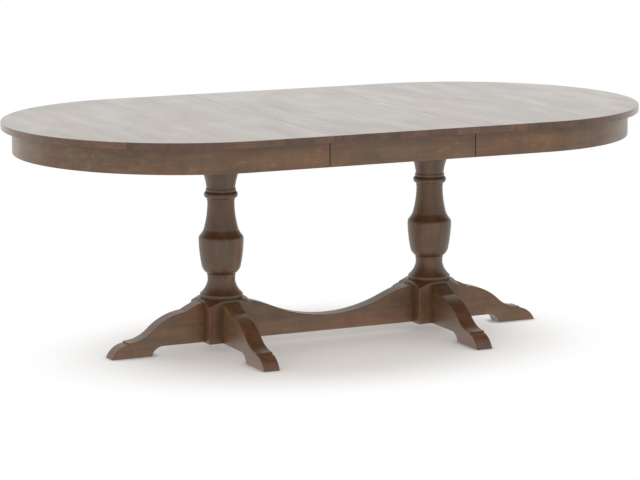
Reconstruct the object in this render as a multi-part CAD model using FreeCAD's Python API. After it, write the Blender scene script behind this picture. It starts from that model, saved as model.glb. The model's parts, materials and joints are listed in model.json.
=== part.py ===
import FreeCAD, Part
import math
import os

# Oval extension dining table: three top panels with an apron, on two turned pedestals and a stretcher.
# Millimetres. X runs along the table, Y to the back, Z up. The origin is on the floor, under the centre.
# The leaf is in place at rest. Each half of the top rides on two geared wooden slides.
# SAME is the distance within which two places count as one. MARGIN is how far a cutting window overshoots.

Vector = FreeCAD.Vector
ORIGIN = Vector(0, 0, 0)
ALONG = Vector(1, 0, 0)
UP = Vector(0, 0, 1)
SAME = 0.01
MARGIN = 1.0
QUARTER_TURN = 90.0
HALF_TURN = 2 * QUARTER_TURN
FULL_TURN = 2 * HALF_TURN

# Top
table_height = 762.0
top_width = 1168.0
end_centre_spacing = 1016.0
slab_thickness = 22.0
slab_top_round = 3.0
slab_bottom_round = 2.0
leaf_width = 508.0
seam_gap = 0.3
seam_bevel = 0.8
leaf_seat_gap = 0.3

# Apron
apron_height = 80.0
apron_thickness = 20.0
apron_inset = 36.0
apron_gap = 3.5
apron_round = 1.5

# Glue blocks behind the apron, and battens under the panels
glue_block_length = 60.0
glue_block_size = 18.0
bow_block_count = 7
batten_width = 60.0
batten_thickness = 22.0
batten_end_gap = 30.0
batten_bow_gap = 26.0

# Alignment pins between the panels
pin_radius = 5.0
pin_length = 44.0
pin_reach = 14.0
pin_gap = 0.3
pin_outer_y = 380.0
pin_inner_y = 120.0

# Pedestal posts: square block, turned shoulder and turned shaft, from the floor up
pedestal_spacing = 762.0
floor_clearance = 32.0
block_width = 152.0
block_height = 139.0
block_round = 2.0
shoulder_radius = 80.0
shoulder_drop = 18.0
quirk_radius = 68.0
quirk_height = 3.0
disc_radius = 69.3
disc_height = 10.0
disc_swell = 1.0
trumpet_height = 42.0
trumpet_hollow = 4.2
neck_radius = 45.0
neck_height = 15.5
neck_bead_height = 9.0
neck_bead_swell = 1.6
bulb_base_radius = 46.5
bulb_turn_radius = 63.3
bulb_turn_height = 23.0
bulb_turn_swell = 2.6
bulb_radius = 73.3
bulb_height = 90.5
bulb_swell = 2.1
nose_radius = 70.6
nose_height = 9.0
nose_swell = 0.6
cove_radius = 56.8
cove_height = 21.0
cove_hollow = 1.0
shaft_radius = 44.0
shaft_hollow = 3.6
collar_radius = 45.2
collar_height = 7.5
torus_height = 22.5
torus_swell = 7.8
ring_radius = 49.0
ring_height = 8.5
waist_radius = 46.2
flare_height = 84.5
flare_hollow = 5.6
cap_radius = 75.0
cap_height = 42.0

# Legs: distances are measured out from the face of the block, heights from the floor
leg_thickness = 55.0
leg_round = 2.5
leg_root_height = 164.0
leg_root_swell = 1.7
leg_kink_run = 61.0
leg_kink_height = 136.5
leg_kink_slope = 6.0
leg_ankle_radius = 120.0
leg_ankle_run = 259.5
leg_ankle_height = 50.5
leg_ankle_step = 5.0
leg_toe_run = 318.5
leg_toe_swell = 10.0
leg_heel_run = 180.0
leg_arch_run = 141.0

# Foot glides
glide_radius = 14.0
glide_height = 1.5
glide_seat = 3.5
glide_bevel = 1.0
glide_gap = 0.1

# Stretcher
stretcher_thickness = 55.0
stretcher_round = 2.5
stretcher_end_height = 159.0
stretcher_turn_run = 95.0
stretcher_turn_height = 130.0
stretcher_middle_height = 84.5

# Dowels in the leg and stretcher joints
dowel_radius = 6.0
dowel_length = 80.0
dowel_inset = 30.0
dowel_gap = 0.1

# Cleats on the posts
cleat_width = 90.0
cleat_overhang = 80.0
cleat_flat_overhang = 35.0
cleat_thickness = 36.0
cleat_tip_thickness = 16.0

# Slides
slide_spacing = 400.0
slide_height = 47.0
slide_width = 36.0
slide_length = 650.0
slide_past_centre = 90.0
slide_gap = 0.6
slide_lift = 3.0
centre_rail_length = 900.0
centre_rail_drop = 2.0
tongue_depth = 9.0
tongue_root = 10.0
tongue_tip = 15.0
tongue_gap = 0.4
tongue_below_top = 20.0

# Rack and pinion
gear_module = 2.5
pinion_teeth = 18
pressure_angle = 20.0
backlash = 0.3
tooth_addendum = 1.0
tooth_dedendum = 1.25
pinion_thickness = 10.0
rack_height = 12.0
rack_back = 4.5
rack_length = 356.0
pinion_pin_radius = 4.0
pinion_bore_gap = 0.06
pinion_pin_head_radius = 8.0
pinion_pin_head_height = 2.7
pinion_pin_hold = 22.0
pinion_side_gap = 0.3
pocket_gap = 3.0

# Wood screws
screw_radius = 2.5
screw_head_radius = 5.0
screw_head_height = 3.0
screw_gap = 0.1
cleat_screw_length = 75.0
cleat_screw_spacing = 60.0
rail_screw_length = 66.0
rail_screw_spacing = 50.0
slide_screw_length = 55.0
slide_screw_recess = 7.0
slide_screw_inset = 35.0
slide_screws = 3

# Levels and places that follow from the sizes above
slab_under = table_height - slab_thickness
leaf_under = slab_under + leaf_seat_gap
pin_level = table_height - slab_thickness / 2
slide_under = slab_under - slide_height
cleat_top = slide_under - slide_lift
post_top = cleat_top - cleat_thickness
block_half = block_width / 2
block_top = floor_clearance + block_height
pedestal_x = pedestal_spacing / 2
glide_x = block_half + (leg_heel_run + leg_toe_run) / 2
end_radius = top_width / 2
end_x = end_centre_spacing / 2
seam_x = leaf_width / 2
slide_y = slide_spacing / 2
apron_inner = end_radius - apron_inset - apron_thickness
pitch_radius = gear_module * pinion_teeth / 2
tip_radius = pitch_radius + tooth_addendum * gear_module
root_radius = pitch_radius - tooth_dedendum * gear_module
rack_tip = pitch_radius - tooth_addendum * gear_module
rack_root = pitch_radius + tooth_dedendum * gear_module
centre_rail_half = rack_tip - slide_gap
tongue_height = slab_under - tongue_below_top
slide_outer_y = slide_y + rack_tip + slide_width
batten_y = (slide_outer_y + apron_inner) / 2


def outline(points, place):
    """Closed face through (a, b) or (a, b, swell) points, run with the material on the left.

    A swell is the height of the arc that ends at its point: outward if positive, hollow if negative.
    """
    edges = []
    for index, point in enumerate(points):
        start = points[index - 1]
        run_a = point[0] - start[0]
        run_b = point[1] - start[1]
        ends = place(start[0], start[1]), place(point[0], point[1])
        if len(point) == 2:
            edges.append(Part.makeLine(*ends))
            continue
        share = point[2] / math.hypot(run_a, run_b)
        middle = place(
            (start[0] + point[0]) / 2 + share * run_b,
            (start[1] + point[1]) / 2 - share * run_a,
        )
        edges.append(Part.Arc(ends[0], middle, ends[1]).toShape())
    return Part.Face(Part.Wire(edges))


def in_xz(a, b):
    return Vector(a, 0, b)


def in_xy(a, b):
    return Vector(a, b, 0)


def in_yz(a, b):
    return Vector(0, a, b)


def box(low, high):
    size = [high[axis] - low[axis] for axis in range(len(low))]
    return Part.makeBox(*size, Vector(*low))


def rod(radius, length, start, along=UP):
    return Part.makeCylinder(radius, length, start, along)


def moved(shape, x=0.0, y=0.0, z=0.0):
    copy = shape.copy()
    copy.translate(Vector(x, y, z))
    return copy


def turned(shape, degrees):
    copy = shape.copy()
    copy.rotate(ORIGIN, UP, degrees)
    return copy


def rounded(shape, radius, wanted):
    """Fillet the edges for which wanted(edge) holds."""
    return shape.makeFillet(radius, [edge for edge in shape.Edges if wanted(edge)])


def at_height(edge, level):
    bounds = edge.BoundBox
    return abs(bounds.ZMin - level) < SAME and abs(bounds.ZMax - level) < SAME


def save(node, *solids):
    shape = solids[0] if len(solids) == 1 else Part.makeCompound(list(solids))
    shape.exportStep("parts/" + node + ".step")


def screw(length, extra=0.0):
    """Countersunk screw pointing up from its head at the origin; extra widens it into its hole."""
    head = Part.makeCone(screw_head_radius + extra, screw_radius + extra, screw_head_height)
    shank = rod(screw_radius + extra, length + extra, ORIGIN)
    return head.fuse(shank).removeSplitter()


def screw_down(length, extra=0.0):
    shape = screw(length, extra)
    shape.rotate(ORIGIN, ALONG, HALF_TURN)
    return shape


# Top and apron


def oval(half_width, low, high):
    """Upright solid with straight sides and round ends."""
    points = [
        (end_x, -half_width),
        (end_x, half_width, half_width),
        (-end_x, half_width),
        (-end_x, -half_width, half_width),
    ]
    face = outline(points, in_xy)
    face.translate(Vector(0, 0, low))
    return face.extrude(Vector(0, 0, high - low))


def whole_slab():
    slab = oval(end_radius, slab_under, table_height)
    slab = rounded(slab, slab_top_round, lambda edge: at_height(edge, table_height))
    return rounded(slab, slab_bottom_round, lambda edge: at_height(edge, slab_under))


def whole_apron(high):
    """Apron all the way round, up to the underside of a panel."""
    outer = end_radius - apron_inset
    low = slab_under - apron_height
    ring = oval(outer, low, high)
    ring = rounded(ring, apron_round, lambda edge: at_height(edge, low))
    return ring.cut(oval(outer - apron_thickness, low, high))


def slice_between(shape, low_x, high_x):
    bounds = shape.BoundBox
    low = (low_x, bounds.YMin - MARGIN, bounds.ZMin - MARGIN)
    high = (high_x, bounds.YMax + MARGIN, bounds.ZMax + MARGIN)
    return shape.common(box(low, high))


def bevel_seams(panel, *seams):
    """Break the top edges of a panel where it meets its neighbour."""
    edges = []
    for edge in panel.Edges:
        bounds = edge.BoundBox
        for seam in seams:
            flush = abs(bounds.XMin - seam) < SAME and abs(bounds.XMax - seam) < SAME
            if flush and at_height(edge, table_height):
                edges.append(edge)
    return panel.makeChamfer(seam_bevel, edges)


def alignment_pin(y):
    """Pin across the left seam, seated in the left half."""
    start = Vector(-seam_x + pin_reach - pin_length, y, pin_level)
    return rod(pin_radius, pin_length, start, ALONG)


def left_top_panel():
    edge_x = -seam_x - seam_gap
    panel = slice_between(whole_slab(), -end_x - end_radius - MARGIN, edge_x)
    panel = bevel_seams(panel, edge_x)
    for y in (pin_outer_y, -pin_inner_y):
        panel = panel.cut(alignment_pin(y))
        socket_start = Vector(edge_x, -y, pin_level)
        panel = panel.cut(rod(pin_radius + pin_gap, pin_reach + pin_gap, socket_start, Vector(-1, 0, 0)))
    return panel


def leaf_panel():
    panel = slice_between(whole_slab(), -seam_x, seam_x)
    panel = bevel_seams(panel, -seam_x, seam_x)
    bounds = panel.BoundBox
    panel = panel.cut(box((-seam_x, bounds.YMin, slab_under), (seam_x, bounds.YMax, leaf_under)))
    return panel.cut(Part.makeCompound(leaf_slots()))


def leaf_slots():
    """Slots in the leaf's edges, open below, which drop over the pins of the two halves."""
    slots = []
    radius = pin_radius + pin_gap
    depth = pin_reach + pin_gap
    for y in (pin_outer_y, -pin_inner_y):
        top = rod(radius, depth, Vector(-seam_x, y, pin_level), ALONG)
        below = box((-seam_x, y - radius, slab_under), (-seam_x + depth, y + radius, pin_level))
        slot = top.fuse(below)
        slots += [slot, turned(slot, HALF_TURN)]
    return slots


def left_glue_blocks():
    """Blocks along the inside of the left apron: evenly round the bow, and one on each straight."""
    outer = apron_inner
    inner = outer - glue_block_size
    low = slab_under - glue_block_size
    arc = math.degrees(glue_block_length / outer)
    blocks = []
    for index in range(bow_block_count):
        angle = QUARTER_TURN + HALF_TURN * (index + 0.5) / bow_block_count
        block = Part.makeCylinder(outer, glue_block_size, Vector(0, 0, low), UP, arc)
        block = block.cut(rod(inner, glue_block_size, Vector(0, 0, low)))
        blocks.append(moved(turned(block, angle - arc / 2), -end_x))
    middle_x = -(end_x + seam_x) / 2
    for side in (-1, 1):
        ends = sorted((side * inner, side * outer))
        blocks.append(box(
            (middle_x - glue_block_length / 2, ends[0], low),
            (middle_x + glue_block_length / 2, ends[1], slab_under),
        ))
    return blocks


def leaf_glue_blocks():
    outer = apron_inner
    inner = outer - glue_block_size
    blocks = []
    for side in (-1, 1):
        ends = sorted((side * inner, side * outer))
        for x in (-seam_x / 2, seam_x / 2):
            blocks.append(box(
                (x - glue_block_length / 2, ends[0], leaf_under - glue_block_size),
                (x + glue_block_length / 2, ends[1], leaf_under),
            ))
    return blocks


def batten(low_x, high_x, y, top):
    return box(
        (low_x, y - batten_width / 2, top - batten_thickness),
        (high_x, y + batten_width / 2, top),
    )


# Pedestals


def turned_post():
    """Shaft turned round the Z axis, from the shoulder of the block to the cleat."""
    shaft_top = post_top - cap_height - flare_height - ring_height - torus_height - collar_height
    steps = [
        (quirk_radius, 0.0),
        (quirk_radius, quirk_height),
        (disc_radius, 0.0),
        (disc_radius, disc_height, disc_swell),
        (neck_radius, trumpet_height, -trumpet_hollow),
        (neck_radius, neck_height),
        (neck_radius, neck_bead_height, neck_bead_swell),
        (bulb_base_radius, 0.0),
        (bulb_turn_radius, bulb_turn_height, bulb_turn_swell),
        (bulb_radius, bulb_height, bulb_swell),
        (nose_radius, nose_height, nose_swell),
        (cove_radius, cove_height, -cove_hollow),
    ]
    upper = [
        (collar_radius, 0.0),
        (collar_radius, collar_height),
        (ring_radius, torus_height, torus_swell),
        (ring_radius, ring_height),
        (waist_radius, 0.0),
        (cap_radius, flare_height, -flare_hollow),
        (cap_radius, cap_height),
    ]
    level = block_top
    points = [(0.0, level)]
    for radius, rise, *swell in steps:
        level += rise
        points.append((radius, level, *swell))
    points.append((shaft_radius, shaft_top, -shaft_hollow))
    level = shaft_top
    for radius, rise, *swell in upper:
        level += rise
        points.append((radius, level, *swell))
    points.append((0.0, level))
    return outline(points, in_xz).revolve(ORIGIN, UP, FULL_TURN)


def square_block():
    """Square foot of the post, with corners turned down to a cone at the top."""
    block = box((-block_half, -block_half, floor_clearance), (block_half, block_half, block_top))
    upright = [edge for edge in block.Edges if edge.BoundBox.ZLength > block_height / 2]
    block = block.makeFillet(block_round, upright)
    corner = math.hypot(block_half, block_half)
    points = [
        (0.0, floor_clearance),
        (corner, floor_clearance),
        (corner, block_top - shoulder_drop),
        (shoulder_radius, block_top),
        (0.0, block_top),
    ]
    return block.common(outline(points, in_xz).revolve(ORIGIN, UP, FULL_TURN))


def joint_dowels(extra=0.0):
    """The two dowels of the joint on the block's +X face; extra widens them into their holes."""
    start_x = block_half - dowel_length / 2 - extra
    length = dowel_length + 2 * extra
    heights = (floor_clearance + dowel_inset, leg_root_height - dowel_inset)
    return [rod(dowel_radius + extra, length, Vector(start_x, 0, z), ALONG) for z in heights]


def post():
    shape = turned_post().fuse(square_block()).removeSplitter()
    sides = (0.0, QUARTER_TURN, HALF_TURN, -QUARTER_TURN)
    holes = [turned(hole, side) for side in sides for hole in joint_dowels(dowel_gap)]
    shape = shape.cut(Part.makeCompound(holes))
    return shape.cut(Part.makeCompound(cleat_screws(screw_gap)))


def arc_swell(radius, start, end):
    half = math.dist(start, end) / 2
    return radius - math.sqrt(radius ** 2 - half ** 2)


def leg_ogee():
    """End point and swell of the ankle's arc and of the crest's arc, which meets it smoothly.

    The ankle's arc leaves the ankle level. The crest's arc reaches the kink at its slope.
    """
    ankle = (leg_ankle_run, leg_ankle_height)
    kink = (leg_kink_run, leg_kink_height)
    slope = math.radians(leg_kink_slope)
    normal = (math.sin(slope), math.cos(slope))
    low_centre = (ankle[0], ankle[1] + leg_ankle_radius)
    across = (kink[0] - low_centre[0], kink[1] - low_centre[1])
    along_normal = across[0] * normal[0] + across[1] * normal[1]
    square = across[0] ** 2 + across[1] ** 2 - leg_ankle_radius ** 2
    crest_radius = square / (2 * (leg_ankle_radius + along_normal))
    high_centre = (kink[0] - crest_radius * normal[0], kink[1] - crest_radius * normal[1])
    share = leg_ankle_radius / (leg_ankle_radius + crest_radius)
    meet = tuple(low + share * (high - low) for low, high in zip(low_centre, high_centre))
    hollow = (*meet, -arc_swell(leg_ankle_radius, ankle, meet))
    crest = (*kink, arc_swell(crest_radius, meet, kink))
    return [hollow, crest]


def leg_heel():
    """End point and swell of the arc from the level underside down to the heel."""
    run = leg_heel_run - leg_arch_run
    drop = floor_clearance - glide_height
    radius = (run ** 2 + drop ** 2) / (2 * drop)
    arch = (leg_arch_run, floor_clearance)
    heel = (leg_heel_run, glide_height)
    return (*heel, -arc_swell(radius, arch, heel))


def leg():
    """Leg on the +X face of a block at the origin."""
    profile = [
        (0.0, floor_clearance),
        (leg_arch_run, floor_clearance),
        leg_heel(),
        (leg_toe_run, glide_height),
        (leg_ankle_run, leg_ankle_height - leg_ankle_step, leg_toe_swell),
        (leg_ankle_run, leg_ankle_height),
        *leg_ogee(),
        (0.0, leg_root_height, leg_root_swell),
    ]
    face = outline(profile, in_xz)
    face.translate(Vector(block_half, -leg_thickness / 2, 0))
    shape = face.extrude(Vector(0, leg_thickness, 0))
    shape = rounded(shape, leg_round, on_leg_rim)
    shape = shape.cut(Part.makeCompound(joint_dowels(dowel_gap)))
    return shape.cut(glide_recess())


def on_leg_rim(edge):
    """Long edges of a leg's two sides that show: all but the underside and the joint."""
    bounds = edge.BoundBox
    along_side = bounds.YLength < SAME
    on_top = bounds.ZMax > floor_clearance + SAME and bounds.XLength > SAME
    return along_side and on_top


def glide():
    """Glide under the pad of the leg on the +X side."""
    body = rod(glide_radius, glide_height + glide_seat, Vector(glide_x, 0, 0))
    return body.makeChamfer(glide_bevel, [edge for edge in body.Edges if at_height(edge, 0.0)])


def glide_recess():
    return rod(glide_radius + glide_gap, glide_seat, Vector(glide_x, 0, glide_height))


def stretcher():
    """Rail between the two blocks: a hollow middle that runs on into swelling ends."""
    half = pedestal_x - block_half
    turn = half - stretcher_turn_run
    dip = stretcher_turn_height - stretcher_middle_height
    end_rise = stretcher_end_height - stretcher_turn_height
    slope = 2 * math.atan(dip / turn)
    bend = slope - math.atan(end_rise / stretcher_turn_run)
    end_swell = math.hypot(stretcher_turn_run, end_rise) / 2 * math.tan(bend / 2)
    points = [
        (-half, floor_clearance),
        (half, floor_clearance),
        (half, stretcher_end_height),
        (turn, stretcher_turn_height, end_swell),
        (-turn, stretcher_turn_height, -dip),
        (-half, stretcher_end_height, end_swell),
    ]
    face = outline(points, in_xz)
    face.translate(Vector(0, -stretcher_thickness / 2, 0))
    shape = face.extrude(Vector(0, stretcher_thickness, 0))
    shape = rounded(shape, stretcher_round, on_stretcher_rim)
    holes = []
    for hole in joint_dowels(dowel_gap):
        holes += [moved(hole, -pedestal_x), moved(turned(hole, HALF_TURN), pedestal_x)]
    return shape.cut(Part.makeCompound(holes))


def on_stretcher_rim(edge):
    bounds = edge.BoundBox
    return bounds.YLength < SAME and bounds.XLength > SAME


# Cleats and slides


def cleat():
    """Bar across the top of a post at the origin, thinner towards its ends."""
    half = slide_y + cleat_overhang
    flat = slide_y + cleat_flat_overhang
    points = [
        (half, cleat_top - cleat_tip_thickness),
        (half, cleat_top),
        (-half, cleat_top),
        (-half, cleat_top - cleat_tip_thickness),
        (-flat, post_top),
        (flat, post_top),
    ]
    face = outline(points, in_yz)
    face.translate(Vector(-cleat_width / 2, 0, 0))
    shape = face.extrude(Vector(cleat_width, 0, 0))
    holes = cleat_screws(screw_gap) + rail_screws(screw_gap)
    return shape.cut(Part.makeCompound(holes))


def cleat_screws(extra=0.0):
    """Four screws down through the cleat into the post."""
    half = cleat_screw_spacing / 2
    return [
        moved(screw_down(cleat_screw_length, extra), x, y, cleat_top)
        for x in (-half, half) for y in (-half, half)
    ]


def rail_screws(extra=0.0):
    """Screws up through the cleat into the centre rails."""
    half = rail_screw_spacing / 2
    return [
        moved(screw(rail_screw_length, extra), x, y, post_top)
        for x in (-half, half) for y in (-slide_y, slide_y)
    ]


def tongue(extra=0.0):
    """Dovetail section of a tongue that points to +Y; extra widens it into its groove."""
    depth = tongue_depth + extra
    root = tongue_root / 2 + extra
    tip = tongue_tip / 2 + extra
    return [(0.0, tongue_height - root), (depth, tongue_height - tip),
            (depth, tongue_height + tip), (0.0, tongue_height + root)]


def bar_along_x(points, low_x, high_x):
    face = outline(points, in_yz)
    face.translate(Vector(low_x, 0, 0))
    return face.extrude(Vector(high_x - low_x, 0, 0))


def centre_rail():
    """Fixed member of a slide, on the X axis, with a dovetail groove in each side and a pinion pocket."""
    half = centre_rail_length / 2
    rail_top = slab_under - centre_rail_drop
    rail = box((-half, -centre_rail_half, cleat_top), (half, centre_rail_half, rail_top))
    groove = bar_along_x(tongue(tongue_gap), -half, half)
    groove.translate(Vector(0, -centre_rail_half - slide_gap, 0))
    rail = rail.cut(groove).cut(turned(groove, HALF_TURN))
    pocket = tip_radius + pocket_gap
    roof = slide_under + rack_height + pinion_side_gap
    rail = rail.cut(box((-pocket, -centre_rail_half, cleat_top), (pocket, centre_rail_half, roof)))
    return rail.cut(rod(pinion_pin_radius, pinion_pin_hold, Vector(0, 0, roof)))


def pinion_pin():
    """Headed pin that carries a pinion under the centre rail."""
    head_low = pinion_low() - pinion_side_gap - pinion_pin_head_height
    head_high = pinion_low() - pinion_side_gap
    top = slide_under + rack_height + pinion_side_gap + pinion_pin_hold
    head = rod(pinion_pin_head_radius, head_high - head_low, Vector(0, 0, head_low))
    return head.fuse(rod(pinion_pin_radius, top - head_low, Vector(0, 0, head_low))).removeSplitter()


def pinion_low():
    return slide_under + (rack_height - pinion_thickness) / 2


def involute(base, radius):
    """Angle, in radians, by which an involute of the base circle has turned at a radius."""
    ratio = math.sqrt((radius / base) ** 2 - 1)
    return ratio - math.atan(ratio)


def polar(radius, angle):
    return Vector(radius * math.cos(angle), radius * math.sin(angle), 0)


def pinion():
    """Spur gear on the Z axis, with a tooth towards each rack."""
    base = pitch_radius * math.cos(math.radians(pressure_angle))
    pitch_half = (math.pi * gear_module / 2 - backlash) / (2 * pitch_radius)
    base_half = pitch_half + involute(base, pitch_radius)
    tip_half = base_half - involute(base, tip_radius)
    step = 2 * math.pi / pinion_teeth
    edges = []
    for tooth in range(pinion_teeth):
        centre = math.pi / 2 + tooth * step
        for side in (-1, 1):
            low = polar(root_radius, centre + side * base_half)
            foot = polar(base, centre + side * base_half)
            middle = polar(pitch_radius, centre + side * pitch_half)
            high = polar(tip_radius, centre + side * tip_half)
            edges.append(Part.makeLine(low, foot))
            edges.append(Part.Arc(foot, middle, high).toShape())
        ends = [polar(tip_radius, centre + angle) for angle in (-tip_half, 0, tip_half)]
        edges.append(Part.Arc(*ends).toShape())
        gap = [polar(root_radius, centre + angle) for angle in (base_half, step / 2, step - base_half)]
        edges.append(Part.Arc(*gap).toShape())
    gear = Part.Face(Part.Wire(Part.__sortEdges__(edges))).extrude(Vector(0, 0, pinion_thickness))
    gear = gear.cut(rod(pinion_pin_radius + pinion_bore_gap, pinion_thickness, ORIGIN))
    return moved(gear, z=pinion_low())


def left_rack():
    """Rack of a left slide on the X axis: teeth face +Y, with a space opposite the pinion's tooth."""
    pitch = math.pi * gear_module
    slope = math.tan(math.radians(pressure_angle))
    tip_half = pitch / 4 - tooth_addendum * gear_module * slope
    root_half = pitch / 4 + tooth_dedendum * gear_module * slope
    high_x = slide_past_centre
    low_x = high_x - rack_length
    first = math.ceil((low_x + root_half) / pitch - 0.5)
    last = math.floor((high_x - root_half) / pitch - 0.5)
    back = -rack_root - rack_back
    points = [(low_x, back), (high_x, back), (high_x, -rack_root)]
    for tooth in range(last, first - 1, -1):
        x = (tooth + 0.5) * pitch
        points += [(x + root_half, -rack_root), (x + tip_half, -rack_tip)]
        points += [(x - tip_half, -rack_tip), (x - root_half, -rack_root)]
    points.append((low_x, -rack_root))
    face = outline(points, in_xy)
    face.translate(Vector(0, 0, slide_under))
    return face.extrude(Vector(0, 0, rack_height))


def left_slide():
    """Sliding member of the left half beside a centre rail on the X axis, on its -Y side."""
    high_x = slide_past_centre
    low_x = high_x - slide_length
    body = box((low_x, -rack_tip - slide_width, slide_under), (high_x, -rack_tip, slab_under))
    key = bar_along_x(tongue(), low_x, high_x)
    key.translate(Vector(0, -rack_tip, 0))
    body = body.fuse(key).removeSplitter()
    seat = box(
        (high_x - rack_length, -rack_root - rack_back, slide_under),
        (high_x, -rack_tip, slide_under + rack_height),
    )
    body = body.cut(seat)
    return body.cut(Part.makeCompound(left_slide_screws(screw_gap)))


def left_slide_screws(extra=0.0):
    """Screws up through a left slide into the left half of the top, in counterbores."""
    screws = []
    start = slide_under + slide_screw_recess
    first_x = slide_past_centre - slide_length + slide_screw_inset
    last_x = -seam_x - slide_screw_inset
    y = -rack_tip - slide_width / 2
    for index in range(slide_screws):
        x = first_x + (last_x - first_x) * index / (slide_screws - 1)
        shape = moved(screw(slide_screw_length, extra), x, y, start)
        if extra:
            mouth = Vector(x, y, slide_under)
            shape = shape.fuse(rod(screw_head_radius + extra, slide_screw_recess, mouth))
        screws.append(shape)
    return screws


def build():
    os.makedirs("parts", exist_ok=True)

    # Base
    leg_places = []
    for side, x, outward in (("left", -pedestal_x, HALF_TURN), ("right", pedestal_x, 0.0)):
        save(side + "_post", moved(post(), x))
        save(side + "_cleat", moved(cleat(), x))
        for place, angle in (("end", outward), ("front", -QUARTER_TURN), ("back", QUARTER_TURN)):
            save(side + "_" + place + "_leg", moved(turned(leg(), angle), x))
            leg_places.append((x, angle))
    save("stretcher", stretcher())

    save("leg_dowels", *[moved(turned(dowel, a), x) for x, a in leg_places for dowel in joint_dowels()])
    save("foot_glides", *[moved(turned(glide(), a), x) for x, a in leg_places])
    inner_places = ((-pedestal_x, 0.0), (pedestal_x, HALF_TURN))
    inner_dowels = [moved(turned(dowel, a), x) for x, a in inner_places for dowel in joint_dowels()]
    save("stretcher_dowels", *inner_dowels)
    post_places = (-pedestal_x, pedestal_x)
    save("cleat_screws", *[moved(part, x) for x in post_places for part in cleat_screws()])
    save("centre_rail_screws", *[moved(part, x) for x in post_places for part in rail_screws()])

    rail_holes = Part.makeCompound([moved(part, x) for x in post_places for part in rail_screws(screw_gap)])
    for place, y in (("front", -slide_y), ("back", slide_y)):
        save(place + "_centre_rail", moved(centre_rail(), y=y).cut(rail_holes))
        save(place + "_pinion_pin", moved(pinion_pin(), y=y))
        save(place + "_pinion", moved(pinion(), y=y))

    # Halves of the top: the right half is the left half turned round
    lanes = (("front", -slide_y), ("back", slide_y))
    screw_holes = [moved(part, y=y) for _, y in lanes for part in left_slide_screws(screw_gap)]
    panel = left_top_panel().cut(Part.makeCompound(screw_holes))
    bow = slice_between(whole_apron(slab_under), -end_x - end_radius, -seam_x - apron_gap / 2)
    batten_high = -seam_x - batten_end_gap
    batten_corner_y = batten_y + batten_width / 2
    batten_low = -end_x - math.sqrt((apron_inner - batten_bow_gap) ** 2 - batten_corner_y ** 2)
    battens = [batten(batten_low, batten_high, y, slab_under) for y in (-batten_y, batten_y)]
    pins = [alignment_pin(y) for y in (pin_outer_y, -pin_inner_y)]
    screws = [moved(part, y=y) for _, y in lanes for part in left_slide_screws()]
    for side, angle in (("left", 0.0), ("right", HALF_TURN)):
        save(side + "_top", turned(panel, angle))
        save(side + "_apron", turned(bow, angle))
        save(side + "_glue_blocks", *[turned(part, angle) for part in left_glue_blocks()])
        save(side + "_battens", *[turned(part, angle) for part in battens])
        save(side + "_alignment_pins", *[turned(part, angle) for part in pins])
        save(side + "_slide_screws", *[turned(part, angle) for part in screws])
        for (_, y), (place, _) in zip(lanes, lanes if side == "left" else reversed(lanes)):
            save(side + "_" + place + "_slide", turned(moved(left_slide(), y=y), angle))
            save(side + "_" + place + "_rack", turned(moved(left_rack(), y=y), angle))

    # Leaf
    save("leaf_top", leaf_panel())
    leaf_apron = slice_between(whole_apron(leaf_under), -seam_x + apron_gap / 2, seam_x - apron_gap / 2)
    front_piece, back_piece = sorted(leaf_apron.Solids, key=lambda solid: solid.CenterOfMass.y)
    save("leaf_front_apron", front_piece)
    save("leaf_back_apron", back_piece)
    leaf_batten_end = seam_x - batten_end_gap
    leaf_battens = [batten(-leaf_batten_end, leaf_batten_end, y, leaf_under) for y in (-batten_y, batten_y)]
    save("leaf_battens", *leaf_battens)
    save("leaf_glue_blocks", *leaf_glue_blocks())


build()
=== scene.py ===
import json
import math
from collections import namedtuple

import bpy
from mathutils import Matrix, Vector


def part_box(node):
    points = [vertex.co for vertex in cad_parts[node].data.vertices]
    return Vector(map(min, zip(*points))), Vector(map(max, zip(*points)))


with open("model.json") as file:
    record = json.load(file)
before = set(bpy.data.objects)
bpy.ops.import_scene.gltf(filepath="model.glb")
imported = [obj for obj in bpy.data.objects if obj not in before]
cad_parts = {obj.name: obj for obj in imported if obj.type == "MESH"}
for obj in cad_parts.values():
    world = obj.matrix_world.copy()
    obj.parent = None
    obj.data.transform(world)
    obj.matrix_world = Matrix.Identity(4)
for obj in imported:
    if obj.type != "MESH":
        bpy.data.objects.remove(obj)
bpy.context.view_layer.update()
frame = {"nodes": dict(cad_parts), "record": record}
nodes = frame["nodes"]

# Camera of the photograph: place in metres, turn and tilt in degrees, lens and sensor in millimetres
CAMERA_PLACE = (-3.9449, -8.1836, 1.9073)
CAMERA_TURN = 25.59
CAMERA_TILT = 9.855
CAMERA_LENS = 157.15
SENSOR_WIDTH = 36.0

# Floor: length of its sides in metres, and the colour that it has in the shadow
FLOOR_SIZE = 80.0
FLOOR_COLOUR = (0.95, 0.92, 0.885, 1.0)

# Oval of the shadow, in metres; the floor is white by the lift from the middle to the start, which is
# a share of the way out, and turns all white from there to the rim
SHADOW_CENTRE = (-0.07, -0.095)
SHADOW_HALF_LENGTH = 1.04
SHADOW_HALF_WIDTH = 0.755
SHADOW_START = 0.44
SHADOW_LIFT = 0.25

# Shade close to the feet: its reach in metres, the openness over which it fades, and the light left in it
CONTACT_REACH = 0.028
CONTACT_SAMPLES = 8
CONTACT_OPENNESS = (0.5, 1.0)
CONTACT_SHADE = 0.35

# Even light from all round
SKY_COLOUR = (1.0, 1.0, 1.0, 1.0)
SKY_STRENGTH = 1.0

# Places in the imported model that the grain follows
SEAM_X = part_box("leaf_top")[1].x
SLAB_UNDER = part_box("left_top")[0].z
BOW_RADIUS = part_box("left_apron")[1].y
BOW_CENTRE_X = -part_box("left_apron")[0].x - BOW_RADIUS
POST_X = (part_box("right_post")[0].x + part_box("right_post")[1].x) / 2

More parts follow.
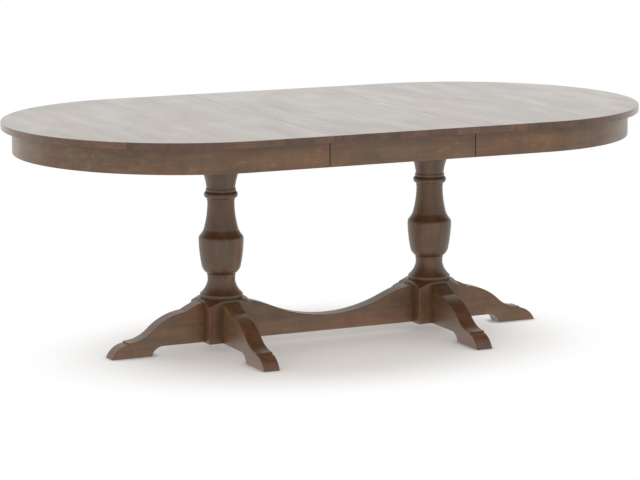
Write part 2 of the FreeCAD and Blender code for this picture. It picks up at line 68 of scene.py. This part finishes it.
# Glued boards: width in metres, tone from the darkest to the lightest, and the spread of their patterns
Boards = namedtuple("Boards", "width tones seeds")
TOP_BOARDS = Boards(width=0.095, tones=(-0.085, 0.12), seeds=23.0)
POST_STAVES = Boards(width=0.048, tones=(-0.095, 0.02), seeds=17.0)
RAIL_BOARDS = Boards(width=0.11, tones=(0.0, 0.09), seeds=19.0)
BOARD_UNEVENNESS = 0.6
STAVE_TURN = math.radians(35)

# Pieces of a single board: tone, scale of the depth, and seeds of the patterns
APRON_TONE = 0.045
APRON_DEPTH_SCALE = 0.3
RIGHT_APRON_SEED = 1.3
LEFT_APRON_SEED = 2.7
LEAF_BACK_APRON_SEED = 4.1
INNER_TONE = 0.0
INNER_SEED = 0.4

# Shifts in metres that give like pieces boards of their own
RIGHT_TOP_SHIFT = 3.17
LEFT_TOP_SHIFT = 5.71
POST_SHIFT = 4.3
END_LEG_SHIFT = 4.6
SIDE_LEG_SHIFT_X = 2.9
SIDE_LEG_SHIFT_Y = 1.7

# Noises of the grain: scale along and across it, in one metre, and the settings of the noise
Noise = namedtuple("Noise", "along across detail roughness distortion")
STREAK = Noise(along=1.7, across=34.0, detail=3.0, roughness=0.55, distortion=0.8)
BLOTCH = Noise(along=9.0, across=16.0, detail=4.0, roughness=0.62, distortion=0.5)
FIBRE = Noise(along=9.0, across=310.0, detail=5.0, roughness=0.65, distortion=0.25)
FLAME = Noise(along=38.0, across=9.0, detail=2.0, roughness=0.5, distortion=0.6)
FLECK = Noise(along=26.0, across=44.0, detail=3.0, roughness=0.55, distortion=1.2)
PORES = Noise(along=24.0, across=950.0, detail=2.0, roughness=0.55, distortion=0.0)
WARMTH = Noise(along=6.0, across=8.0, detail=2.0, roughness=0.55, distortion=0.0)
SHEEN = Noise(along=3.0, across=8.0, detail=2.0, roughness=0.45, distortion=0.7)

# Values between which a noise or a feature of the grain goes from none to full
NOISE_SPAN = (0.3, 0.7)
FLECK_SPAN = (0.60, 0.74)
PORE_SPAN = (0.62, 0.72)
END_SPAN = (0.2, 0.8)
WARMTH_SPAN = (0.38, 0.64)

# Growth rings: the pith lies below the board, leans and wanders, in metres; rings in one metre of radius,
# and how sharply each ring ends
PITH_DEPTH = 0.06
PITH_SLOPE = 0.05
PITH_SHIFT = 0.003
PITH_WANDER = 0.07
PITH_DRIFT = {"detail": 2.0, "roughness": 0.55, "distortion": 0.0}
PITH_DRIFT_ALONG = 1.3
PITH_DRIFT_ACROSS = 4.0
RINGS_IN_METRE = 120.0
RING_SHARPNESS = 3.0

# How strongly each feature of the grain shades the wood; the even ones lie about a half
EVEN_FEATURES = ("streak", "blotch", "fibre", "flame")
TOP_FIGURE = {
    "streak": 0.46, "blotch": 0.34, "fibre": 0.34, "flame": 0.10,
    "fleck": 0.10, "end": -0.08, "rings": -0.14, "pores": -0.16,
}
APRON_FIGURE = {
    "streak": 0.42, "blotch": 0.52, "fibre": 0.18, "flame": 0.16,
    "fleck": 0.22, "end": 0.0, "rings": -0.04, "pores": -0.08,
}
BASE_FIGURE = {
    "streak": 0.34, "blotch": 0.40, "fibre": 0.18, "flame": 0.15,
    "fleck": 0.08, "end": -0.12, "rings": -0.03, "pores": -0.07,
}

# How far light boards and cut ends take the red stain, and the relief of fibres and pores
TONE_WARMTH = 0.5
END_WARMTH = 0.2
PORE_DEPTH = 0.6
RELIEF_STRENGTH = 0.10
RELIEF_HEIGHT = 0.0005

# Lacquer: lowest and highest roughness of the wood, and the clear coat
Lacquer = namedtuple("Lacquer", "roughness coat coat_roughness")
TOP_LACQUER = Lacquer(roughness=(0.20, 0.30), coat=0.55, coat_roughness=0.15)
APRON_LACQUER = Lacquer(roughness=(0.34, 0.46), coat=0.45, coat_roughness=0.28)
BASE_LACQUER = Lacquer(roughness=(0.38, 0.50), coat=0.35, coat_roughness=0.38)
BARE_WOOD = Lacquer(roughness=(0.52, 0.66), coat=0.0, coat_roughness=0.3)
LACQUER_TINT = (1.0, 0.97, 0.91, 1.0)

# Surfaces that face further down than this have no lacquer on the top's panels
UNDERSIDE = -0.5


def srgb(red, green, blue):
    """Linear colour, with alpha, of an 8-bit screen colour."""
    channels = []
    for value in (red, green, blue):
        share = value / 255
        channels.append(share / 12.92 if share <= 0.04045 else ((share + 0.055) / 1.055) ** 2.4)
    return (*channels, 1.0)


# Stains, from the darkest streaks to the lightest: shade, and colour
BROWN_STAIN = (
    (0.22, srgb(54, 37, 19)),
    (0.45, srgb(80, 58, 34)),
    (0.62, srgb(100, 75, 44)),
    (0.85, srgb(131, 101, 60)),
)
RED_STAIN = (
    (0.22, srgb(59, 34, 17)),
    (0.45, srgb(89, 56, 31)),
    (0.62, srgb(110, 72, 41)),
    (0.85, srgb(141, 99, 60)),
)
PLAIN_WOOD = (
    (0.25, srgb(158, 122, 84)),
    (0.55, srgb(190, 155, 113)),
    (0.85, srgb(209, 178, 138)),
)

# Finish of each kind of wood: its stains, figure and lacquer
Finish = namedtuple("Finish", "stains figure lacquer")
TOP_FINISH = Finish((BROWN_STAIN, RED_STAIN), TOP_FIGURE, TOP_LACQUER)
APRON_FINISH = Finish((BROWN_STAIN, RED_STAIN), APRON_FIGURE, APRON_LACQUER)
BASE_FINISH = Finish((BROWN_STAIN, RED_STAIN), BASE_FIGURE, BASE_LACQUER)
INNER_FINISH = Finish((PLAIN_WOOD,), BASE_FIGURE, BARE_WOOD)

# Spotted finishes: the noise, its scale in one metre, and colours and roughness from spot to ground
SPOTS = {"detail": 4.0, "roughness": 0.55, "distortion": 0.0}
STEEL_SCALE = 420.0
STEEL_COLOURS = ((0.3, srgb(158, 156, 150)), (0.7, srgb(196, 194, 188)))
STEEL_ROUGHNESS = (0.28, 0.42)
NYLON_SCALE = 260.0
NYLON_COLOURS = ((0.3, srgb(205, 200, 186)), (0.7, srgb(222, 218, 206)))
NYLON_ROUGHNESS = (0.46, 0.58)
NYLON_RELIEF_STRENGTH = 0.08
NYLON_RELIEF_HEIGHT = 0.0004

# Grain at the shaded point: place along it, across it and in depth, how far the surface faces along it,
# and the seed that shifts the patterns
Grain = namedtuple("Grain", "along across depth end seed")

# Sockets of the three parts of a place or a direction
Axes = namedtuple("Axes", "x y z")


class Shader:
    """A material with its node tree, and short ways to add nodes to it."""

    # Colour sockets of the Mix node, which has sockets for every type of data
    MIX_FIRST = 6
    MIX_SECOND = 7
    MIX_RESULT = 2

    def __init__(self, name):
        self.material = bpy.data.materials.new(name)
        self.material.use_nodes = True
        self.tree = self.material.node_tree
        self.tree.nodes.clear()
        self.output = self.node("ShaderNodeOutputMaterial")

    def node(self, kind, **settings):
        made = self.tree.nodes.new(kind)
        for key, value in settings.items():
            setattr(made, key, value)
        return made

    def feed(self, socket, value):
        """Link a socket to another one, or set it to a plain value."""
        if isinstance(value, bpy.types.NodeSocket):
            self.tree.links.new(value, socket)
        else:
            socket.default_value = value

    def maths(self, operation, *values):
        made = self.node("ShaderNodeMath", operation=operation)
        for socket, value in zip(made.inputs, values):
            self.feed(socket, value)
        return made.outputs[0]

    def scaled(self, value, factor, offset=0.0):
        return self.maths("MULTIPLY_ADD", value, factor, offset)

    def vector(self, x, y, z):
        made = self.node("ShaderNodeCombineXYZ")
        for socket, value in zip(made.inputs, (x, y, z)):
            self.feed(socket, value)
        return made.outputs[0]

    def coordinates(self, kind):
        source = self.node("ShaderNodeTexCoord")
        split = self.node("ShaderNodeSeparateXYZ")
        self.feed(split.inputs[0], source.outputs[kind])
        return Axes(*split.outputs)

    def place(self):
        """X, Y and Z of the shaded point at rest, in metres."""
        return self.coordinates("Object")

    def facing(self):
        """How far the surface faces along X, Y and Z, from -1 to 1."""
        return self.coordinates("Normal")

    def noise(self, vector, detail, roughness, distortion):
        made = self.node("ShaderNodeTexNoise")
        self.feed(made.inputs["Vector"], vector)
        made.inputs["Scale"].default_value = 1.0
        made.inputs["Detail"].default_value = detail
        made.inputs["Roughness"].default_value = roughness
        made.inputs["Distortion"].default_value = distortion
        return made.outputs["Fac"]

    def ramp(self, factor, stops):
        """Colour ramp through (place, colour) stops."""
        made = self.node("ShaderNodeValToRGB")
        elements = made.color_ramp.elements
        while len(elements) < len(stops):
            elements.new(0.5)
        for element, (place, colour) in zip(elements, stops):
            element.position = place
            element.color = colour
        self.feed(made.inputs[0], factor)
        return made.outputs[0]

    def mixed(self, factor, first, second):
        """Mix of two colours, from all first to all second."""
        made = self.node("ShaderNodeMix", data_type="RGBA")
        self.feed(made.inputs["Factor"], factor)
        self.feed(made.inputs[self.MIX_FIRST], first)
        self.feed(made.inputs[self.MIX_SECOND], second)
        return made.outputs[self.MIX_RESULT]

    def blended(self, factor, first, second):
        """Mix of two shaders, from all first to all second."""
        made = self.node("ShaderNodeMixShader")
        for socket, value in zip(made.inputs, (factor, first, second)):
            self.feed(socket, value)
        return made.outputs[0]

    def span(self, value, given, wanted=(0.0, 1.0), soft=False):
        """Map the given span of values to the wanted one, and hold its ends."""
        made = self.node("ShaderNodeMapRange", interpolation_type="SMOOTHSTEP" if soft else "LINEAR")
        for socket, number in zip(made.inputs, (value, *given, *wanted)):
            self.feed(socket, number)
        return made.outputs[0]

    def bump(self, height, strength, distance):
        made = self.node("ShaderNodeBump")
        made.inputs["Strength"].default_value = strength
        made.inputs["Distance"].default_value = distance
        self.feed(made.inputs["Height"], height)
        return made.outputs[0]

    def principled(self, **sockets):
        """Principled shader; a socket's name has spaces where its keyword has underscores."""
        made = self.node("ShaderNodeBsdfPrincipled")
        for key, value in sockets.items():
            self.feed(made.inputs[key.replace("_", " ")], value)
        self.feed(self.output.inputs["Surface"], made.outputs[0])
        return self.material


# Wood


def glued(shader, place, kind):
    """Tone and seed of the board at a place, and the place measured from the board's middle."""
    cells = shader.node("ShaderNodeTexVoronoi", voronoi_dimensions="1D", feature="F1")
    shader.feed(cells.inputs["W"], place)
    cells.inputs["Scale"].default_value = 1 / kind.width
    cells.inputs["Randomness"].default_value = BOARD_UNEVENNESS
    split = shader.node("ShaderNodeSeparateColor")
    shader.feed(split.inputs[0], cells.outputs["Color"])
    tone = shader.span(split.outputs[0], (0.0, 1.0), kind.tones)
    seed = shader.scaled(split.outputs[1], kind.seeds)
    middle = shader.maths("SUBTRACT", place, cells.outputs["W"])
    return tone, seed, middle


def growth_rings(shader, grain):
    """Soft sawtooth of the year rings, round a pith that runs aslant outside the board."""
    drift_place = shader.vector(
        shader.scaled(grain.along, PITH_DRIFT_ALONG, grain.seed),
        shader.scaled(grain.across, PITH_DRIFT_ACROSS),
        shader.scaled(grain.depth, PITH_DRIFT_ACROSS),
    )
    drift = shader.noise(drift_place, **PITH_DRIFT)
    aside = shader.maths("ADD", grain.across, shader.scaled(grain.seed, PITH_SHIFT))
    side = shader.scaled(drift, PITH_WANDER, aside)
    reach = shader.scaled(grain.along, PITH_SLOPE, shader.maths("ADD", grain.depth, PITH_DEPTH))
    radius = shader.maths("SQRT", shader.scaled(side, side, shader.maths("MULTIPLY", reach, reach)))
    ring = shader.maths("FRACT", shader.scaled(radius, RINGS_IN_METRE))
    return shader.maths("POWER", ring, RING_SHARPNESS)


def pattern(shader, grain, noise):
    """Noise that is drawn out along the grain."""
    place = shader.vector(
        shader.scaled(grain.along, noise.along, grain.seed),
        shader.scaled(grain.across, noise.across, grain.seed),
        shader.scaled(grain.depth, noise.across),
    )
    return shader.noise(place, noise.detail, noise.roughness, noise.distortion)


def grain_features(shader, grain):
    """Each feature of the grain at the shaded point, from 0 to 1; cut ends soak up more of the stain."""
    return {
        "streak": pattern(shader, grain, STREAK),
        "blotch": pattern(shader, grain, BLOTCH),
        "fibre": pattern(shader, grain, FIBRE),
        "flame": pattern(shader, grain, FLAME),
        "fleck": shader.span(pattern(shader, grain, FLECK), FLECK_SPAN),
        "end": shader.span(shader.maths("ABSOLUTE", grain.end), END_SPAN),
        "rings": growth_rings(shader, grain),
        "pores": shader.span(pattern(shader, grain, PORES), PORE_SPAN),
    }


def stained(shader, grain, features, tone, finish):
    """Colour of the wood: the figure shades it, and a second stain warms light boards and cut ends."""
    middle = sum(finish.figure[name] for name in EVEN_FEATURES) / 2
    shade = shader.maths("ADD", tone, 0.5 - middle)
    for name, weight in finish.figure.items():
        shade = shader.scaled(features[name], weight, shade)
    colours = [shader.ramp(shade, stain) for stain in finish.stains]
    if len(colours) == 1:
        return colours[0]
    warmth = shader.scaled(tone, TONE_WARMTH, pattern(shader, grain, WARMTH))
    warmth = shader.scaled(features["end"], END_WARMTH, warmth)
    return shader.mixed(shader.span(warmth, WARMTH_SPAN), *colours)


def timber(shader, grain, tone, finish, bare=None):
    """Stained and lacquered wood; bare is 1 where it has no lacquer."""
    lacquer = finish.lacquer
    features = grain_features(shader, grain)
    roughness = shader.span(pattern(shader, grain, SHEEN), NOISE_SPAN, lacquer.roughness)
    coat = lacquer.coat
    if bare is not None:
        roughness = shader.scaled(bare, BARE_WOOD.roughness[0] - lacquer.roughness[0], roughness)
        coat = shader.scaled(bare, -coat, coat)
    relief = shader.scaled(features["pores"], -PORE_DEPTH, features["fibre"])
    return shader.principled(
        Base_Color=stained(shader, grain, features, tone, finish),
        Roughness=roughness,
        Coat_Weight=coat,
        Coat_Roughness=lacquer.coat_roughness,
        Coat_Tint=LACQUER_TINT,
        Normal=shader.bump(relief, RELIEF_STRENGTH, RELIEF_HEIGHT),
    )


def top_wood():
    """Boards across the table, each with its own tone; the boards start afresh at each seam."""
    shader = Shader("top_wood")
    x, y, z = shader.place()
    right = shader.maths("GREATER_THAN", x, SEAM_X)
    left = shader.maths("LESS_THAN", x, -SEAM_X)
    row = shader.scaled(right, RIGHT_TOP_SHIFT, shader.scaled(left, LEFT_TOP_SHIFT, x))
    tone, seed, across = glued(shader, row, TOP_BOARDS)
    depth = shader.maths("SUBTRACT", z, SLAB_UNDER)
    facing = shader.facing()
    bare = shader.maths("LESS_THAN", facing.z, UNDERSIDE)
    return timber(shader, Grain(y, across, depth, facing.y, seed), tone, TOP_FINISH, bare)


def apron_run(shader, x, y, leaf):
    """Way along the apron in metres: straight on the sides, and round the bow at the ends."""
    side = shader.maths("ABSOLUTE", x)
    toward_front = shader.scaled(y, -1.0)
    past = shader.maths("MAXIMUM", shader.maths("SUBTRACT", side, BOW_CENTRE_X), 0.0)
    angle = shader.maths("ARCTAN2", past, toward_front)
    short = shader.maths("SUBTRACT", shader.maths("MINIMUM", side, BOW_CENTRE_X), BOW_CENTRE_X)
    straight = shader.maths("MULTIPLY", short, shader.maths("SIGN", toward_front))
    bow_run = shader.scaled(angle, BOW_RADIUS, straight)
    return shader.scaled(leaf, shader.maths("SUBTRACT", x, bow_run), bow_run)


def apron_wood():
    """One long board for each piece of the apron, with the grain along it."""
    shader = Shader("apron_wood")
    x, y, z = shader.place()
    right = shader.maths("GREATER_THAN", x, SEAM_X)
    left = shader.maths("LESS_THAN", x, -SEAM_X)
    leaf = shader.maths("LESS_THAN", shader.maths("ABSOLUTE", x), SEAM_X)
    leaf_back = shader.maths("MULTIPLY", leaf, shader.maths("GREATER_THAN", y, 0.0))
    seed = shader.scaled(leaf_back, LEAF_BACK_APRON_SEED)
    seed = shader.scaled(left, LEFT_APRON_SEED, seed)
    seed = shader.scaled(right, RIGHT_APRON_SEED, seed)
    run = apron_run(shader, x, y, leaf)
    depth = shader.maths("ABSOLUTE", shader.scaled(y, APRON_DEPTH_SCALE))
    return timber(shader, Grain(run, z, depth, 0.0, seed), APRON_TONE, APRON_FINISH)


def post_wood():
    """Upright grain, in staves glued side by side."""
    shader = Shader("post_wood")
    x, y, z = shader.place()
    side = shader.maths("SIGN", x)
    out = shader.maths("SUBTRACT", x, shader.scaled(side, POST_X))
    across = shader.scaled(out, math.cos(STAVE_TURN), shader.scaled(y, math.sin(STAVE_TURN)))
    depth = shader.scaled(y, math.cos(STAVE_TURN), shader.scaled(out, -math.sin(STAVE_TURN)))
    tone, seed, middle = glued(shader, shader.scaled(side, POST_SHIFT, across), POST_STAVES)
    return timber(shader, Grain(z, middle, depth, shader.facing().z, seed), tone, BASE_FINISH)


def rail_wood_x():
    """Grain along X, in boards glued one above the other: the stretcher and the end legs."""
    shader = Shader("rail_wood_x")
    x, y, z = shader.place()
    right = shader.maths("GREATER_THAN", x, POST_X)
    left = shader.maths("LESS_THAN", x, -POST_X)
    shift = shader.scaled(shader.maths("SUBTRACT", right, left), END_LEG_SHIFT)
    tone, seed, across = glued(shader, shader.maths("ADD", z, shift), RAIL_BOARDS)
    return timber(shader, Grain(x, across, y, shader.facing().x, seed), tone, BASE_FINISH)


def rail_wood_y():
    """Grain along Y, in boards glued one above the other: the front and back legs."""
    shader = Shader("rail_wood_y")
    x, y, z = shader.place()
    shift = shader.scaled(shader.maths("SIGN", y), SIDE_LEG_SHIFT_Y)
    shift = shader.scaled(shader.maths("SIGN", x), SIDE_LEG_SHIFT_X, shift)
    tone, seed, across = glued(shader, shader.maths("ADD", z, shift), RAIL_BOARDS)
    return timber(shader, Grain(y, across, x, shader.facing().y, seed), tone, BASE_FINISH)


def inner_wood_x():
    """Plain unstained hardwood along X: the slides, battens, blocks and dowels."""
    shader = Shader("inner_wood_x")
    x, y, z = shader.place()
    return timber(shader, Grain(x, y, z, shader.facing().x, INNER_SEED), INNER_TONE, INNER_FINISH)


def inner_wood_y():
    """Plain unstained hardwood along Y: the cleats."""
    shader = Shader("inner_wood_y")
    x, y, z = shader.place()
    return timber(shader, Grain(y, x, z, shader.facing().y, INNER_SEED), INNER_TONE, INNER_FINISH)


# Steel and nylon


def spotted(shader, scale):
    """Noise alike in all directions."""
    place = shader.vector(*(shader.scaled(part, scale) for part in shader.place()))
    return shader.noise(place, **SPOTS)


def steel():
    """Zinc plated screws and pins."""
    shader = Shader("steel")
    spots = spotted(shader, STEEL_SCALE)
    return shader.principled(
        Base_Color=shader.ramp(spots, STEEL_COLOURS),
        Metallic=1.0,
        Roughness=shader.span(spots, NOISE_SPAN, STEEL_ROUGHNESS),
    )


def nylon():
    """Matt natural nylon of the gears, racks and glides."""
    shader = Shader("nylon")
    spots = spotted(shader, NYLON_SCALE)
    return shader.principled(
        Base_Color=shader.ramp(spots, NYLON_COLOURS),
        Roughness=shader.span(spots, NOISE_SPAN, NYLON_ROUGHNESS),
        Normal=shader.bump(spots, NYLON_RELIEF_STRENGTH, NYLON_RELIEF_HEIGHT),
    )


def dress_nodes():
    """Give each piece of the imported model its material, by its slot or by the end of its name."""
    by_slot = {
        "top_wood": top_wood(),
        "apron_wood": apron_wood(),
        "base_wood": rail_wood_x(),
        "inner_wood": inner_wood_x(),
        "steel": steel(),
        "nylon": nylon(),
    }
    by_ending = {"_post": post_wood(), "_cleat": inner_wood_y(), "_front_leg": rail_wood_y()}
    by_ending["_back_leg"] = by_ending["_front_leg"]
    slots = {row["node"]: row["material_slot"] for row in frame["record"]["subparts"]}
    for name, piece in nodes.items():
        material = by_slot[slots[name]]
        for ending, other in by_ending.items():
            if name.endswith(ending):
                material = other
        piece.data.materials.clear()
        piece.data.materials.append(material)


# Stage


def outside_shadow(shader):
    """Share of plain white on the floor, from the lift in the shadow's middle to 1 outside its oval."""
    place = shader.place()
    length = shader.maths("DIVIDE", shader.maths("SUBTRACT", place.x, SHADOW_CENTRE[0]), SHADOW_HALF_LENGTH)
    width = shader.maths("DIVIDE", shader.maths("SUBTRACT", place.y, SHADOW_CENTRE[1]), SHADOW_HALF_WIDTH)
    reach = shader.maths("SQRT", shader.scaled(length, length, shader.maths("MULTIPLY", width, width)))
    return shader.span(reach, (SHADOW_START, 1.0), (SHADOW_LIFT, 1.0), soft=True)


def white_with_contacts(shader):
    """Plain white that darkens close to the feet."""
    near = shader.node("ShaderNodeAmbientOcclusion", samples=CONTACT_SAMPLES)
    near.inputs["Distance"].default_value = CONTACT_REACH
    light = shader.node("ShaderNodeEmission")
    strength = shader.span(near.outputs["AO"], CONTACT_OPENNESS, (CONTACT_SHADE, 1.0))
    shader.feed(light.inputs["Strength"], strength)
    return light.outputs[0]


def floor_material():
    """White floor that shows the table's shadow, and is plain white outside the shadow's oval.

    Only the camera sees the shadow: the table is lit by the floor, and mirrors it, as an even white.
    From below the floor is clear, so that the underside of the table shows.
    """
    shader = Shader("floor")
    grey = shader.node("ShaderNodeBsdfDiffuse")
    grey.inputs["Color"].default_value = FLOOR_COLOUR
    shadow = shader.blended(outside_shadow(shader), grey.outputs[0], white_with_contacts(shader))
    white = shader.node("ShaderNodeEmission")
    rays = shader.node("ShaderNodeLightPath")
    upper_side = shader.blended(rays.outputs["Is Camera Ray"], white.outputs[0], shadow)
    side = shader.node("ShaderNodeNewGeometry")
    clear = shader.node("ShaderNodeBsdfTransparent")
    surface = shader.blended(side.outputs["Backfacing"], upper_side, clear.outputs[0])
    shader.feed(shader.output.inputs["Surface"], surface)
    shader.material.cycles.emission_sampling = "NONE"
    return shader.material


def make_floor():
    half = FLOOR_SIZE / 2
    corners = [(-half, -half, 0), (half, -half, 0), (half, half, 0), (-half, half, 0)]
    mesh = bpy.data.meshes.new("floor")
    mesh.from_pydata(corners, [], [(0, 1, 2, 3)])
    mesh.materials.append(floor_material())
    floor = bpy.data.objects.new("floor", mesh)
    bpy.context.scene.collection.objects.link(floor)


def make_sky():
    """Even white light from all round."""
    world = bpy.data.worlds.new("sky")
    bpy.context.scene.world = world
    world.use_nodes = True
    background = world.node_tree.nodes["Background"]
    background.inputs["Color"].default_value = SKY_COLOUR
    background.inputs["Strength"].default_value = SKY_STRENGTH


def place_camera():
    data = bpy.data.cameras.new("camera")
    data.sensor_fit = "HORIZONTAL"
    data.sensor_width = SENSOR_WIDTH
    data.lens = CAMERA_LENS
    camera = bpy.data.objects.new("camera", data)
    camera.location = CAMERA_PLACE
    camera.rotation_euler = (math.radians(90 - CAMERA_TILT), 0.0, math.radians(-CAMERA_TURN))
    bpy.context.scene.collection.objects.link(camera)
    bpy.context.scene.camera = camera


bpy.context.scene.view_settings.view_transform = "Standard"
dress_nodes()
make_floor()
make_sky()
place_camera()
